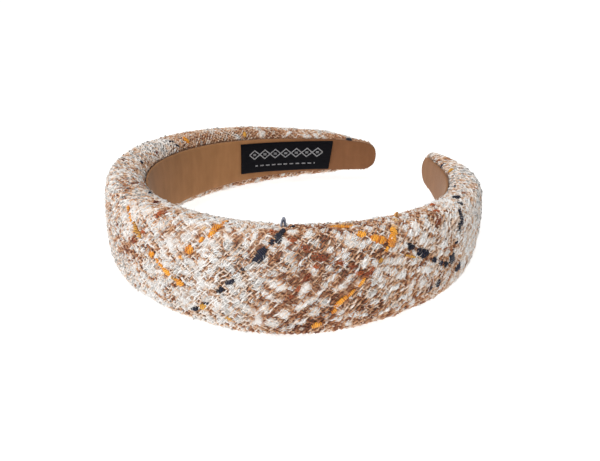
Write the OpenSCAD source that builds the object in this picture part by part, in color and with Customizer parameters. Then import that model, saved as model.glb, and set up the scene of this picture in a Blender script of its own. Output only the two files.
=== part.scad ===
// Padded headband: a thick pad covered in tweed that curves round the head,
// lined on its head side with a suede-like strip that carries a woven label.
// It lies on its lower edge, crown towards -Y, both tips towards +Y.

/* [Arch] */
// Length of the head side line, from tip to tip round the crown
arch_length = 380; // [350:1:396]
// Radius of the head side line at the crown
crown_radius = 56.3; // [54:0.1:64]
// Share of the crown's curvature that is gone at the tips
leg_straightening = 0.86; // [0.7:0.01:0.95]

/* [Padded cover] */
// Width of the pad over the crown
crown_width = 36; // [30:0.5:42]
// Width of the pad at the tips
tip_width = 17; // [14:0.2:22]
// How far from the crown the width holds, as a power of the place
width_hold = 2.7; // [1.8:0.1:3.5]
// Thickness of the pad over the crown, measured out from the head side line
crown_thickness = 17.4; // [10:0.2:22]
// Thickness of the pad at the tips
tip_thickness = 3.4; // [3:0.1:6]
// How far from the crown the thickness holds, as a power of the place
thickness_hold = 4.2; // [3:0.1:6]
// Depth of the pad's widest line, as a share of its thickness
belly_share = 0.71; // [0.6:0.01:0.8]
// Squareness of the outer half of the section, where 2 is an ellipse
outer_squareness = 2.65; // [2:0.05:3.4]
// Squareness of the head side half of the section
inner_squareness = 3.85; // [2.6:0.05:5]

/* [Lining] */
// Thickness of the lining strip
lining_thickness = 0.8; // [0.6:0.1:1.4]
// Tweed left bare on each side of the lining at the crown
lining_margin = 4.9; // [3:0.1:7]
// Tweed left bare round the lining's ends
tip_margin = 0.8; // [0.6:0.1:2]
// How far from the crown the margin holds, as a power of the place
margin_hold = 6; // [4:0.5:9]

/* [Label] */
// Length of the label along the left leg
label_length = 49; // [30:1:60]
// Distance from the left tip to the label's nearer end
label_from_tip = 25; // [18:0.5:40]
// Lining left bare above and below the label at its narrower end
label_edge = 0.5; // [0.4:0.1:3]
// Thickness of the label
label_thickness = 0.4; // [0.3:0.1:0.8]

/* [Fit] */
// Clearance between the layers that lie on each other
layer_gap = 0.2; // [0.15:0.05:0.3]

/* [Hidden] */

half_length = arch_length / 2;
tip_radius = tip_width / 2;
// The tweed lies this far behind the head side line, which is the lining's face
cover_setback = lining_thickness + layer_gap;
// Share of a rounded end that stays flat, so that it closes on a small face
end_flat = 0.15;
// Share of the tip's thickness that is rounded away at its end
end_softness = 0.4;

// Sections along one leg up to the rounded tip, and round the tip itself
leg_steps = 42;
tip_steps = 6;
// Points round one half of the pad's section
half_section_steps = 16;
// Places across the lining and the label, as shares of their half width
strip_places = [-1, -0.9, -0.75, -0.45, 0, 0.45, 0.75, 0.9, 1];
label_steps = 14;

// The head side line. Its curvature is greatest at the crown and falls with the
// square of the distance from it, so the heading is a cubic of that distance.
function place(s) = min(1, abs(s) / half_length);
function curvature(s) = (1 - leg_straightening * pow(place(s), 2)) / crown_radius;
function heading(s) = (s - leg_straightening * pow(s, 3) / pow(half_length, 2) / 3)
    / crown_radius * 180 / PI;

line_step = 1;
line_count = ceil(half_length / line_step);
line_x = [for (i = 0, x = 0; i <= line_count;
    x = x + line_step * cos(heading((i + 0.5) * line_step)), i = i + 1) [i * line_step, x]];
line_y = [for (i = 0, y = 0; i <= line_count;
    y = y + line_step * sin(heading((i + 0.5) * line_step)), i = i + 1) [i * line_step, y]];
function arch_x(s) = sign(s) * lookup(abs(s), line_x);
function arch_y(s) = lookup(abs(s), line_y);

// A point at s along the line, depth out from the head and z above its middle
function band_point(s, depth, z) = [
    arch_x(s) + sin(heading(s)) * depth,
    arch_y(s) - cos(heading(s)) * depth,
    z
];

// How a width or thickness closes within a radius of a rounded end
function end_round(distance, radius) = distance >= radius
    ? 1
    : max(end_flat, sqrt(1 - pow(1 - max(0, distance) / radius, 2)));

// Width and thickness of the pad, full at the crown and least at the tips
function full_half_width(s) = (tip_width + (crown_width - tip_width)
    * (1 - pow(place(s), width_hold))) / 2;
function pad_half_width(s) = full_half_width(s) * end_round(half_length - abs(s), tip_radius);
function full_depth(s) = tip_thickness + (crown_thickness - tip_thickness)
    * (1 - pow(place(s), thickness_hold));
function pad_depth(s) = full_depth(s)
    * (1 - end_softness + end_softness * end_round(half_length - abs(s), tip_thickness));
function belly_depth(s) = belly_share * pad_depth(s);

// Depth of the tweed on the head side, least along the middle of the band
function inner_depth(s, z) = belly_depth(s) - (belly_depth(s) - cover_setback)
    * pow(1 - pow(min(1, abs(z) / pad_half_width(s)), inner_squareness), 1 / inner_squareness);

// Half width of the lining, inside the pad's edge by the margin of bare tweed
function bare_margin(s) = tip_margin + (lining_margin - tip_margin)
    * (1 - pow(place(s), margin_hold));
function lining_half_width(s) = (full_half_width(s) - bare_margin(s))
    * end_round(half_length - tip_margin - abs(s), tip_radius - tip_margin);
function lining_back(s, z) = inner_depth(s, z) - layer_gap;
function lining_face(s, z) = lining_back(s, z) - lining_thickness;

// Distances from the crown of the sections of one leg, whose end is rounded
function leg_sections(end_gap) = let (radius = tip_radius - end_gap) concat(
    [for (i = [1 : leg_steps]) i / leg_steps * (half_length - tip_radius)],
    [for (i = [1 : tip_steps]) half_length - tip_radius + radius * sin(90 * i / tip_steps)]
);
function both_legs(leg) = concat(
    [for (i = [len(leg) - 1 : -1 : 0]) -leg[i]],
    [0],
    leg
);
cover_sections = both_legs(leg_sections(0));
lining_sections = both_legs(leg_sections(tip_margin));

// One ring of the pad: a superellipse, flatter on the head side than outside
function cover_ring(s) = let (belly = belly_depth(s), half = pad_half_width(s)) [
    for (i = [0 : 2 * half_section_steps - 1])
        let (
            angle = 180 * i / half_section_steps,
            outside = angle <= 180,
            power = 2 / (outside ? outer_squareness : inner_squareness),
            reach = outside ? pad_depth(s) - belly : cover_setback - belly,
            z = half * sign(cos(angle)) * pow(abs(cos(angle)), power),
            depth = belly + reach * pow(abs(sin(angle)), power)
        )
        band_point(s, depth, z)
];

// The pad lies where its weight is lowest over its lower edge. The crown is the
// wider part, so the band leans back from it by a few degrees.
weight_sections = [for (i = [0.5 : 1 : 39.5]) i / 40 * half_length];
function section_weight(s) = pad_half_width(s) * pad_depth(s)
    * (1 + curvature(s) * pad_depth(s) / 2);
function total(list) = list * [for (item = list) 1];
weight_y = total([for (s = weight_sections)
    section_weight(s) * band_point(s, pad_depth(s) / 2, 0)[1]])
    / total([for (s = weight_sections) section_weight(s)]);
lower_edge = [for (s = weight_sections) band_point(s, belly_depth(s), -pad_half_width(s))];
function tilted(p, angle) = [
    p[0],
    p[1] * cos(angle) + p[2] * sin(angle),
    p[2] * cos(angle) - p[1] * sin(angle)
];
function weight_height(angle) = tilted([0, weight_y, 0], angle)[2]
    - min([for (p = lower_edge) tilted(p, angle)[2]]);
tilt_choices = [for (angle = [0 : 0.05 : 8]) [weight_height(angle), angle]];
least_height = min([for (choice = tilt_choices) choice[0]]);
rest_tilt = [for (choice = tilt_choices) if (choice[0] == least_height) choice[1]][0];

cover_rings = [for (s = cover_sections) cover_ring(s)];
cover_y = [for (ring = cover_rings) for (p = ring) tilted(p, rest_tilt)[1]];
cover_z = [for (ring = cover_rings) for (p = ring) tilted(p, rest_tilt)[2]];
rest_shift = [0, -(min(cover_y) + max(cover_y)) / 2, -min(cover_z)];
function at_rest(p) = tilted(p, rest_tilt) + rest_shift;

// A closed skin over a row of rings, with a flat face at each end
module skin(rings) {
    count = len(rings[0]);
    last = (len(rings) - 1) * count;
    sides = [
        for (r = [0 : len(rings) - 2]) for (i = [0 : count - 1])
            let (a = r * count + i, b = r * count + (i + 1) % count)
            each [[a, b + count, b], [a, a + count, b + count]]
    ];
    // An end is closed like a ladder, each rung joining the two halves of its ring
    rungs = [
        for (i = [0 : count / 2 - 2])
            each [[i, i + 1, count - 2 - i], [i, count - 2 - i, count - 1 - i]]
    ];
    far_rungs = [for (face = rungs) [last + face[2], last + face[1], last + face[0]]];
    polyhedron(
        points = [for (ring = rings) for (p = ring) at_rest(p)],
        faces = concat(sides, rungs, far_rungs)
    );
}

// A strip's ring runs down its back and up its face
function strip_ring(s, half, back, thickness) = concat(
    [for (i = [len(strip_places) - 1 : -1 : 0])
        let (z = half * strip_places[i])
        band_point(s, back(s, z), z)],
    [for (share = strip_places)
        let (z = half * share)
        band_point(s, back(s, z) - thickness, z)]
);

module padded_cover() {
    color([0.82, 0.78, 0.72])
        skin(cover_rings);
}

module lining() {
    color([0.59, 0.45, 0.32])
        skin([for (s = lining_sections)
            strip_ring(s, lining_half_width(s), function (s, z) lining_back(s, z), lining_thickness)]);
}

// The label lies flat on the lining of the left leg, as wide as it allows there
module label() {
    near_end = -half_length + label_from_tip;
    half = lining_half_width(near_end) - label_edge;
    color([0.10, 0.10, 0.11])
        skin([for (i = [0 : label_steps])
            strip_ring(near_end + label_length * i / label_steps, half,
                function (s, z) lining_face(s, z) - layer_gap, label_thickness)]);
}

padded_cover();
lining();
label();
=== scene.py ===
"""A padded headband in loose tweed, lying on its lower edge.

The sizes are those of the solids, in millimetres, and turn into metres when a mesh is made.
"""

import bpy
import numpy as np
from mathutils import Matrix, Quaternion, Vector


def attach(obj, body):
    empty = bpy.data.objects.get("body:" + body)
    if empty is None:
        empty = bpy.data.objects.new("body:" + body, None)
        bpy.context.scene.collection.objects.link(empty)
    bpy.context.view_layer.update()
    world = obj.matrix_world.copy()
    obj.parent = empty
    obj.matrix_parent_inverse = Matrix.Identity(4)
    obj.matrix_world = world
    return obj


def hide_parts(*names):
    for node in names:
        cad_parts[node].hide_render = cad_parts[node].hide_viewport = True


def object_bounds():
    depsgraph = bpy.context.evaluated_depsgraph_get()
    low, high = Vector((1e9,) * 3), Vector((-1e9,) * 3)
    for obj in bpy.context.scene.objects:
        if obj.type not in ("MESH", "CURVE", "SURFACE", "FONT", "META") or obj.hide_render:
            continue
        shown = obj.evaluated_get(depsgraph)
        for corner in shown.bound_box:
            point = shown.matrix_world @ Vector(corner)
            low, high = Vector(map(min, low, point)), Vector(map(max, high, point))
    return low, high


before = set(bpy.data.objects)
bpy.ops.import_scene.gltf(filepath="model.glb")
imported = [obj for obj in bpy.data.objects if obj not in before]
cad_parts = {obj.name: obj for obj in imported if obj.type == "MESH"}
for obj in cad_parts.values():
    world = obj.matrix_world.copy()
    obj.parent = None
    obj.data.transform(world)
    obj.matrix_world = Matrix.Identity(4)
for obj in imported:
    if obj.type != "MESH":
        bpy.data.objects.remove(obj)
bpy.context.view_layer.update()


# Camera
# It stands to the front right of the crown and a little above it, and looks at the
# middle of the band. Spots on the cloth are charted as this camera sees them.
frame_width, frame_height = 600, 461
camera_data = bpy.data.cameras.new("camera")
camera = bpy.data.objects.new("camera", camera_data)
bpy.context.scene.collection.objects.link(camera)
bpy.context.scene.camera = camera
camera.location = (0.155575, -0.179880, 0.112140)
aim = Vector((-0.000467, 0.000597, 0.018450))
roll = Quaternion((0, 0, 1), np.radians(0.581))
camera.rotation_mode = "QUATERNION"
camera.rotation_quaternion = (aim - camera.location).to_track_quat("-Z", "Y") @ roll
camera_data.sensor_width = 36
camera_data.lens = 35.42
camera_data.shift_y = -0.0617
camera_data.clip_start, camera_data.clip_end = 0.01, 20
camera_spot = np.array(camera.location) * 1000


def in_frame(points):
    """Where points in millimetres show in the frame, in pixels from its upper left
    corner, and how far in front of the camera they are."""
    seen = (points - camera_spot) @ np.array(camera.rotation_quaternion.to_matrix())
    ahead = -seen[..., 2]
    scale = camera_data.lens / camera_data.sensor_width * frame_width
    x = frame_width / 2 + scale * seen[..., 0] / ahead
    y = frame_height / 2 - scale * seen[..., 1] / ahead + camera_data.shift_y * frame_width
    return np.stack([x, y], -1), ahead


# Padded cover
# A thick foam pad over a springy core, wrapped in loose tweed that is cut on the bias
# and pulled taut. The cloth's raw edges are folded under the lining and glued there.
half_length = 190.0
crown_radius = 56.3
straightening = 0.86
crown_width, tip_width, width_hold = 36.0, 17.0, 2.7
crown_thickness, tip_thickness, thickness_hold = 17.4, 3.4, 4.2
belly_share = 0.71
outer_squareness, inner_squareness = 2.65, 3.85
lining_thickness, lining_margin, tip_margin, margin_hold = 0.8, 4.9, 0.8, 6.0
layer_gap = 0.2
tip_radius = tip_width / 2
cover_setback = lining_thickness + layer_gap
# How the solids lie at rest: their lean back from the crown, and their shift
rest_tilt = np.radians(1.55)
rest_shift = np.array([0.0, -63.4383, 18.2806])
# Squareness of the tips' round ends, where 2 is a circle, and the least share of width
# and thickness that is left at the very end
tip_squareness, end_width, end_thickness, end_softness = 2.5, 0.03, 0.05, 0.55
# The upper corner of the left tip is trimmed by a share of the height over this length
corner_length, corner_share = 28.0, 0.22
# Tweed left bare past the lining's left and right ends, and where that margin begins
left_gap, right_gap, gap_from, gap_over = 0.2, 1.5, 145.0, 30.0
# Where the hand-stretched cover strays from an even band: the distance along it from the
# crown, and how much further out its edge lies there. A stray fades over its reach.
upper_strays = [(-140, -0.15), (-76, 0.25), (0, -0.4), (38, -0.4), (76, 0.25), (130, 0.15)]
lower_strays = [(-130, 0.15), (-76, -0.2), (0, -0.5), (38, 1.0), (76, -0.4), (150, 0.1)]
stray_reach = 38.0


def place(s):
    """Share of the way from the crown to a tip, 0 to 1."""
    return np.minimum(1.0, np.abs(s) / half_length)


def eased(share, amount=1.0):
    """A smooth step from 0 to an amount, while a share runs from 0 to 1."""
    return amount * share * share * (3 - 2 * share)


def heading(s):
    """Direction of the head side line: its curvature falls with the square of the place."""
    return (s - straightening * s**3 / half_length**2 / 3) / crown_radius


line_s = np.linspace(-half_length, half_length, 3801)


def summed(values):
    """Running sum along the head side line, zero at the crown, by the trapezium rule."""
    steps = (values[1:] + values[:-1]) / 2 * np.diff(line_s)
    run = np.concatenate([[0.0], np.cumsum(steps)])
    return run - run[len(run) // 2]


line_x = summed(np.cos(heading(line_s)))
line_y = summed(np.sin(heading(line_s)))


def band_point(s, depth, z):
    """The point at s along the head side line, depth out from the head and z above the
    band's middle, leant back to where the band rests."""
    x = np.interp(s, line_s, line_x) + np.sin(heading(s)) * depth
    y = np.interp(s, line_s, line_y) - np.cos(heading(s)) * depth
    lean_y = y * np.cos(rest_tilt) + z * np.sin(rest_tilt)
    lean_z = z * np.cos(rest_tilt) - y * np.sin(rest_tilt)
    return np.stack([x, lean_y, lean_z], -1) + rest_shift


def full_half_width(s):
    """Half the pad's width, which falls from the crown to the tips as a power of the place."""
    return (tip_width + (crown_width - tip_width) * (1 - place(s) ** width_hold)) / 2


def closing(distance, radius, least, squareness=2.0):
    """How a width closes within a radius of a rounded end: a quarter circle, or blunter
    than that with a squareness above 2."""
    inside = 1 - np.clip(distance, 0, radius) / radius
    return np.maximum(least, (1 - inside**squareness) ** (1 / squareness))


def pad_half_width(s):
    """Half the pad's width with its tips rounded off."""
    to_end = half_length - np.abs(s)
    return full_half_width(s) * closing(to_end, tip_radius, end_width, tip_squareness)


def pad_depth(s):
    """Thickness of the pad, which softens to a blunt end at each tip."""
    full = tip_thickness + (crown_thickness - tip_thickness) * (1 - place(s) ** thickness_hold)
    end = closing(half_length - np.abs(s), tip_thickness, end_thickness)
    return full * (1 - end_softness + end_softness * end)


def corner_trim(s, z):
    """Share of the height that is left where the upper corner of the left tip is cut
    lower than the rest, by a smooth step."""
    near = np.clip((-s - (half_length - corner_length)) / corner_length, 0, 1)
    return np.where(z > 0, 1 - eased(near, corner_share), 1.0)


def end_gap(s):
    """Tweed left bare past the lining's end: the strip was glued by hand, and it reaches
    further at the left tip than at the right one."""
    return np.where(s < 0, left_gap, right_gap)


def lining_half_width(s):
    """Half width of the lining: the pad's, less a margin that narrows to the tips."""
    bare = tip_margin + (lining_margin - tip_margin) * (1 - place(s) ** margin_hold)
    gap = end_gap(s)
    bare = bare + (gap - tip_margin) * np.clip((np.abs(s) - gap_from) / gap_over, 0, 1) ** 2
    squareness = np.where(s < 0, tip_squareness, 2.0)
    to_end = half_length - gap - np.abs(s)
    return (full_half_width(s) - bare) * closing(to_end, tip_radius - gap, 0.05, squareness)


def inner_depth(s, z):
    """Depth of the tweed on the head side, least along the middle of the band."""
    belly = belly_share * pad_depth(s)
    share = np.minimum(1, np.abs(z) / pad_half_width(s))
    rise = (1 - share**inner_squareness) ** (1 / inner_squareness)
    return belly - (belly - cover_setback) * rise


def strayed(s, strays):
    """Share by which an edge lies further out: the strays over the half width, each faded
    by a smooth step of the distance from its middle."""
    out = 0 * s
    for middle, amount in strays:
        near = np.clip(1 - np.abs(s - middle) / stray_reach, 0, 1)
        out = out + eased(near, amount)
    return 1 + out / full_half_width(s)


def between(grid, i, j, p, q):
    """A grid's value at the shares p and q of the way on from row i and column j, by
    straight interpolation."""
    low = grid[i, j] * (1 - p) + grid[i + 1, j] * p
    high = grid[i, j + 1] * (1 - p) + grid[i + 1, j + 1] * p
    return low * (1 - q) + high * q


def soft_noise(u, v, cell, seed):
    """Random heights from -1 to 1 on a square lattice that repeats far off, joined by
    smooth steps. A cell is the lattice's spacing."""
    count = 512
    lattice = np.random.default_rng(seed).uniform(-1, 1, (count, count))
    lattice = np.pad(lattice, (0, 1), mode="wrap")
    x, y = u / cell + 200.0, v / cell + 200.0
    i, j = np.floor(x).astype(int), np.floor(y).astype(int)
    return between(lattice, i % count, j % count, eased(x - i), eased(y - j))


# Rows across the band, close together round the tips
straight_end = half_length - tip_radius
leg = np.linspace(0, straight_end, 221)[1:]
round_end = straight_end + tip_radius * np.sin(np.linspace(0, np.pi / 2, 17)[1:])
one_side = np.concatenate([leg, round_end])
row_s = np.concatenate([-one_side[::-1], [0.0], one_side])
rows = len(row_s)
# Columns run from the inner middle over the lower edge to the outer middle, this many
# away, and over the upper edge back to the inner middle
half_columns = 54


def half_ring(stray, sign):
    """Half of each section, outer middle to inner middle, as angles, depths and heights:
    a superellipse, flatter on the head side. Also the arc length up to each angle."""
    angle = np.linspace(np.pi / 2, -np.pi / 2, 181)[None, :]
    outside = angle >= 0
    power = np.where(outside, 2 / outer_squareness, 2 / inner_squareness)
    thick = pad_depth(row_s)[:, None]
    belly = belly_share * thick
    reach = np.where(outside, thick - belly, cover_setback - belly)
    half = (pad_half_width(row_s) * stray * corner_trim(row_s, sign))[:, None]
    depth = belly + reach * np.abs(np.sin(angle)) ** power
    z = half * np.abs(np.cos(angle)) ** power
    arc = np.cumsum(np.hypot(np.diff(depth), np.diff(z)), 1)
    arc = np.concatenate([np.zeros((rows, 1)), arc], 1)
    return angle + 0 * half, depth, z, arc


def even_steps(values, arc, shares):
    """Values along each row at given shares of its arc length. Each row has its own
    stretch of one long table, so that one interpolation serves all rows."""
    start = 2.0 * np.arange(rows)[:, None]
    known = arc / arc[:, -1:] + start
    even = np.interp((shares + start).ravel(), known.ravel(), values.ravel())
    return even.reshape(rows, -1)


shares = np.linspace(0, 1, half_columns + 1)[None, :]
halves = []
for sign, strays in ((-1, lower_strays), (1, upper_strays)):
    angle, depth, z, arc = half_ring(strayed(row_s, strays), sign)
    # Where the lining's edge lies, as a share of the half girth
    edge = np.clip(lining_half_width(row_s) / z.max(1), 0, 1) ** (inner_squareness / 2)
    fine_angles = even_steps(-angle, arc, np.linspace(0, 1, 400)[None, :])
    passed = fine_angles < np.arccos(edge)[:, None]
    halves.append(
        {
            "depth": even_steps(depth, arc, shares),
            "z": sign * even_steps(z, arc, shares),
            "girth": arc[:, -1],
            "edge": passed.mean(1),
        }
    )
lower, upper = halves
ring_depth = np.concatenate([lower["depth"][:, :0:-1], upper["depth"]], 1)
ring_z = np.concatenate([lower["z"][:, :0:-1], upper["z"]], 1)
columns = ring_depth.shape[1]
surface = band_point(row_s[:, None], ring_depth, ring_z)


def outward(points):
    """Unit normals of the closed band from its own two directions."""
    along = np.gradient(points, axis=0)
    wrapped = np.concatenate([points[:, -2:-1], points, points[:, 1:2]], 1)
    across = wrapped[:, 2:] - wrapped[:, :-2]
    normal = np.cross(along, across)
    normal /= np.maximum(1e-9, np.linalg.norm(normal, axis=-1, keepdims=True))
    return normal


surface_normal = outward(surface)
through = surface[:, half_columns] - surface[:, 0]
side = np.sign((through * surface_normal[:, half_columns]).sum())
surface_normal = side * surface_normal


pressing_frames = 16
# The most that the cloth may swell or sink, and the share of the even swell that is taken
# off again over the crown, because the band's sizes are those of the stuffed band
swell_limit, swell_taken = 0.9, 0.75


def pressed_out():
    """How far the foam presses the stretched cover out at each spot, in millimetres. A
    coarse copy of the cover, with a little slack, is simulated as cloth under pressure.
    It is held where it is glued under the lining, so that it puckers near there."""
    row_step, column_step = 4, 3
    some_rows = np.arange(0, rows, row_step)
    some_columns = np.arange(0, columns - 1, column_step)
    points = surface[some_rows][:, some_columns]
    normals = surface_normal[some_rows][:, some_columns]
    index = np.arange(points[..., 0].size).reshape(len(some_rows), -1)
    ahead = np.roll(index, -1, 1)
    walls = np.stack([index[:-1], ahead[:-1], ahead[1:], index[1:]], -1).reshape(-1, 4)
    ends = [index[0][::-1], index[-1]]
    first = points.reshape(-1, 3)[walls[0]]
    if np.cross(first[1] - first[0], first[3] - first[0]) @ normals[0, 0] < 0:
        walls, ends = walls[:, ::-1], [ring[::-1] for ring in ends]
    faces = walls.tolist() + [ring.tolist() for ring in ends]
    mesh = bpy.data.meshes.new("foam_under_cloth")
    mesh.from_pydata((points.reshape(-1, 3) * 0.001).tolist(), [], faces)
    piece = bpy.data.objects.new("foam_under_cloth", mesh)
    bpy.context.scene.collection.objects.link(piece)
    share = np.linspace(-1, 1, columns)[None, :]
    edge = np.where(share >= 0, upper["edge"][:, None], lower["edge"][:, None])
    held = (np.abs(share) > edge)[some_rows][:, some_columns]
    held[[0, 1, -2, -1]] = True
    piece.vertex_groups.new(name="glued").add(index[held].tolist(), 1.0, "REPLACE")
    cloth = piece.modifiers.new("cloth", "CLOTH")
    cloth.collision_settings.use_collision = False
    for setting, value in (
        ("quality", 6),
        ("mass", 0.3),
        ("tension_stiffness", 15),
        ("compression_stiffness", 15),
        ("bending_stiffness", 0.5),
        ("use_pressure", True),
        ("uniform_pressure_force", 500.0),
        ("shrink_min", -0.012),
        ("vertex_group_mass", "glued"),
    ):
        setattr(cloth.settings, setting, value)
    cloth.settings.effector_weights.gravity = 0
    for number in range(1, pressing_frames + 1):
        bpy.context.scene.frame_set(number)
    shape = piece.evaluated_get(bpy.context.evaluated_depsgraph_get()).data
    moved = np.empty(points.size, np.float32)
    shape.vertices.foreach_get("co", moved)
    bpy.context.scene.frame_set(1)
    bpy.data.objects.remove(piece)
    bpy.data.meshes.remove(mesh)
    rise = ((moved.reshape(points.shape) * 1000 - points) * normals).sum(-1)
    rise = np.concatenate([rise, rise[:, :1]], 1)
    # Straight interpolation back to every column, then to every row
    across = np.arange(columns) / column_step
    low = np.minimum(across.astype(int), rise.shape[1] - 2)
    rise = rise[:, low] * (1 - across + low) + rise[:, low + 1] * (across - low)
    along = np.arange(rows) / row_step
    low = np.minimum(along.astype(int), len(some_rows) - 2)
    part = (along - low)[:, None]
    return rise[low] * (1 - part) + rise[low + 1] * part


swell = pressed_out()
even_swell = swell[np.abs(row_s) < 120].mean(0)
to_tip = np.clip((half_length - np.abs(row_s)) / 30, 0, 1)[:, None]
swell = np.clip(swell - swell_taken * even_swell * to_tip, -swell_limit, swell_limit)
surface = surface + surface_normal * swell[..., None]
surface_normal = side * outward(surface)
middle = surface[:, half_columns]
# Length along the outer middle of the band, zero at the crown
run = np.concatenate([[0], np.cumsum(np.linalg.norm(np.diff(middle, axis=0), axis=1))])
row_length = run - run[rows // 2]
reach_length = row_length[-1]


def girth_place(length, girth):
    """Row and column of a spot on the cloth, from its length along the outer middle and
    its girth up from there, with the share of the way to the lining's edge."""
    row = np.interp(length, row_length, np.arange(rows))
    up = np.interp(row, np.arange(rows), upper["girth"])
    down = np.interp(row, np.arange(rows), lower["girth"])
    share = np.where(girth >= 0, girth / up, girth / down)
    upper_edge = np.interp(row, np.arange(rows), upper["edge"])
    edge = np.where(girth >= 0, upper_edge, np.interp(row, np.arange(rows), lower["edge"]))
    return row, half_columns * (1 + np.clip(share, -1, 1)), np.abs(share) / edge


def to_lining(length, girth):
    """Share of the way from the outer middle to the lining's edge, 1 at the edge."""
    return girth_place(length, girth)[2]


def room_to_lining(length, girth):
    """Millimetres of cloth between a spot and the lining's edge."""
    return np.abs(girth) / np.maximum(to_lining(length, girth), 1e-3) - np.abs(girth)


def on_cloth(length, girth, height):
    """The point that stands at a height over a spot on the cloth, and the normal there,
    by straight interpolation between the band's rows and columns."""
    row, column, _ = girth_place(length, girth)
    i = np.minimum(row.astype(int), rows - 2)
    j = np.minimum(column.astype(int), columns - 2)
    p, q = (row - i)[..., None], (column - j)[..., None]
    normal = between(surface_normal, i, j, p, q)
    return between(surface, i, j, p, q) + normal * np.asarray(height)[..., None], normal


share_of_half = np.linspace(-1, 1, columns)[None, :]
half_girth = np.where(share_of_half >= 0, upper["girth"][:, None], lower["girth"][:, None])
grid_girth = share_of_half * half_girth
grid_length = row_length[:, None] + 0 * grid_girth
view_line = camera_spot - surface
faces_camera = (view_line * surface_normal).sum(-1) > 0
surface_in_frame, surface_ahead = in_frame(surface)


def charted(spots):
    """Length and girth on the cloth of spots read off the frame in pixels: of the places
    that face the camera within a pixel or two, the one nearest to the camera."""
    found = []
    for x, y in spots:
        off = np.hypot(surface_in_frame[..., 0] - x, surface_in_frame[..., 1] - y)
        off = np.where(faces_camera, off, 1e6)
        close = np.where(off < off.min() + 1.2, surface_ahead, 1e6)
        i, j = np.unravel_index(np.argmin(close + 0.2 * off), off.shape)
        found.append((grid_length[i, j], grid_girth[i, j]))
    return np.array(found)


def seen_in_front(length, girth):
    """How squarely spots on the cloth face the camera, from 1 down to -1 for those that
    face away, and where in the frame they show."""
    point, normal = on_cloth(length, girth, 0 * length)
    way = camera_spot - point
    facing = (way * normal).sum(-1) / np.linalg.norm(way, axis=-1)
    return facing, *in_frame(point)[0].T


# The cloth's two yarn directions, leaning as the bias cut leaves them
warp_lean, weft_lean = np.radians(47.5), np.radians(-31.5)
warp_across = np.array([-np.sin(warp_lean), np.cos(warp_lean)])
weft_across = np.array([-np.sin(weft_lean), np.cos(weft_lean)])


def cloth_mesh(name, points, faces):
    """A smooth mesh object from points in millimetres and arrays of faces, which rides on the
    band's one body."""
    corners = np.concatenate([f.ravel() for f in faces]).astype(np.int32)
    counts = np.concatenate([np.full(len(f), f.shape[1]) for f in faces])
    mesh = bpy.data.meshes.new(name)
    mesh.vertices.add(len(points))
    mesh.vertices.foreach_set("co", (points * 0.001).astype(np.float32).ravel())
    mesh.loops.add(len(corners))
    mesh.loops.foreach_set("vertex_index", corners)
    mesh.polygons.add(len(counts))
    mesh.polygons.foreach_set("loop_start", (np.cumsum(counts) - counts).astype(np.int32))
    mesh.polygons.foreach_set("use_smooth", np.ones(len(counts), bool))
    mesh.update(calc_edges=True)
    piece = bpy.data.objects.new(name, mesh)
    bpy.context.scene.collection.objects.link(piece)
    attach(piece, "root")
    return piece


def give_values(piece, name, values):
    """A number at each vertex, which the material reads by name."""
    layer = piece.data.attributes.new(name, "FLOAT", "POINT")
    layer.data.foreach_set("value", np.asarray(values, np.float32).ravel())


def give_uv(piece, at_corner):
    """The piece's own map, from one pair of numbers at each face corner."""
    layer = piece.data.uv_layers.new(name="cloth_map")
    layer.data.foreach_set("uv", np.asarray(at_corner, np.float32).ravel())


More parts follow.
